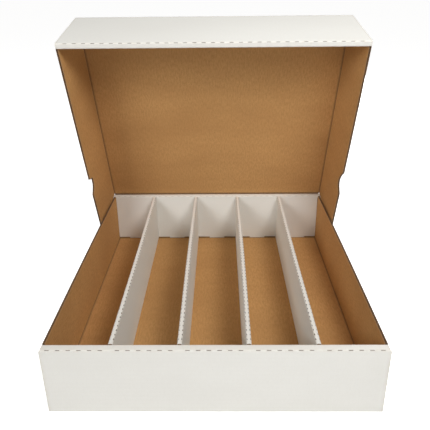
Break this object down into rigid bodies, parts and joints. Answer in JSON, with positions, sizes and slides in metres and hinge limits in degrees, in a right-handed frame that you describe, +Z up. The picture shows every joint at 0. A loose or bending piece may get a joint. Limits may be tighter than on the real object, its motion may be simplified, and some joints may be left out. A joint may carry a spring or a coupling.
{
  "type": "card storage box with attached lid",
  "caption": "Corrugated board storage box with long card rows between folded dividers and a deep lid hinged along the back rim, shown standing open.",
  "frame": {"origin": "middle of the underside of the base, on the surface the box rests on", "axes": "+Z up, -Y towards the front wall, +X to the right of someone facing the front wall; the lid stands open along the back"},
  "size_m": [0.4068, 0.3528, 0.4444],
  "materials": {
    "white_board": "bleached white liner, matte",
    "kraft_board": "brown kraft liner, matte"
  },
  "bodies": {
    "base": {"base_floor": "kraft_board", "base_left_wall": "kraft_board", "base_right_wall": "kraft_board", "front_wall_outer_panel": "white_board", "front_wall_top_strip": "white_board", "front_wall_inner_panel": "white_board", "front_left_corner_flap": "kraft_board", "front_right_corner_flap": "kraft_board", "back_wall_outer_panel": "white_board", "back_wall_top_strip": "white_board", "back_wall_inner_panel": "white_board", "back_left_corner_flap": "kraft_board", "back_right_corner_flap": "kraft_board", "divider_1": "white_board", "divider_2": "white_board", "divider_3": "white_board", "divider_4": "white_board", "lid_hinge_flap": "white_board"},
    "lid": {"lid_panel": "kraft_board", "lid_left_wall": "kraft_board", "lid_right_wall": "kraft_board", "lid_front_wall_outer_panel": "white_board", "lid_front_wall_edge_strip": "white_board", "lid_front_wall_inner_panel": "white_board", "lid_left_corner_flap": "kraft_board", "lid_right_corner_flap": "kraft_board"}
  },
  "joints": [
    {"name": "lid_hinge", "type": "hinge", "parent": "base", "child": "lid", "pos_m": [0, 0.1764, 0.0978], "axis": [-1, 0, 0], "range_deg": [-74, 121]}
  ]
}
